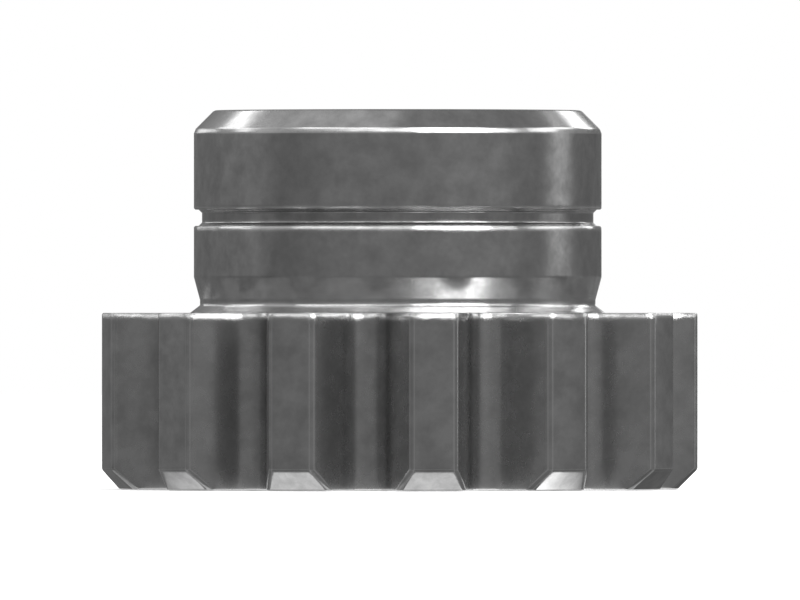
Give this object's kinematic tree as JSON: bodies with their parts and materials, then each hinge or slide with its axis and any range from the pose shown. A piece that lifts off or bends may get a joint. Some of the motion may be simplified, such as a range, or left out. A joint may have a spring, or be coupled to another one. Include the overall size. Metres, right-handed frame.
{
  "type": "splined drive adapter",
  "caption": "Short steel drive adapter with an external spline, a spigot with a retaining ring groove, and a keyed bore through it.",
  "frame": {"origin": "on the axis of rotation, at the end face of the external spline, which the part stands on", "axes": "+Z along the axis from the spline towards the spigot; +X through the middle of a tooth and of the keyway"},
  "size_m": [0.0438, 0.044, 0.0279],
  "materials": {
    "steel": "turned and hobbed, smooth satin with faint handling smudges"
  },
  "bodies": {
    "root": {"splined_adapter": "steel"}
  },
  "joints": []
}
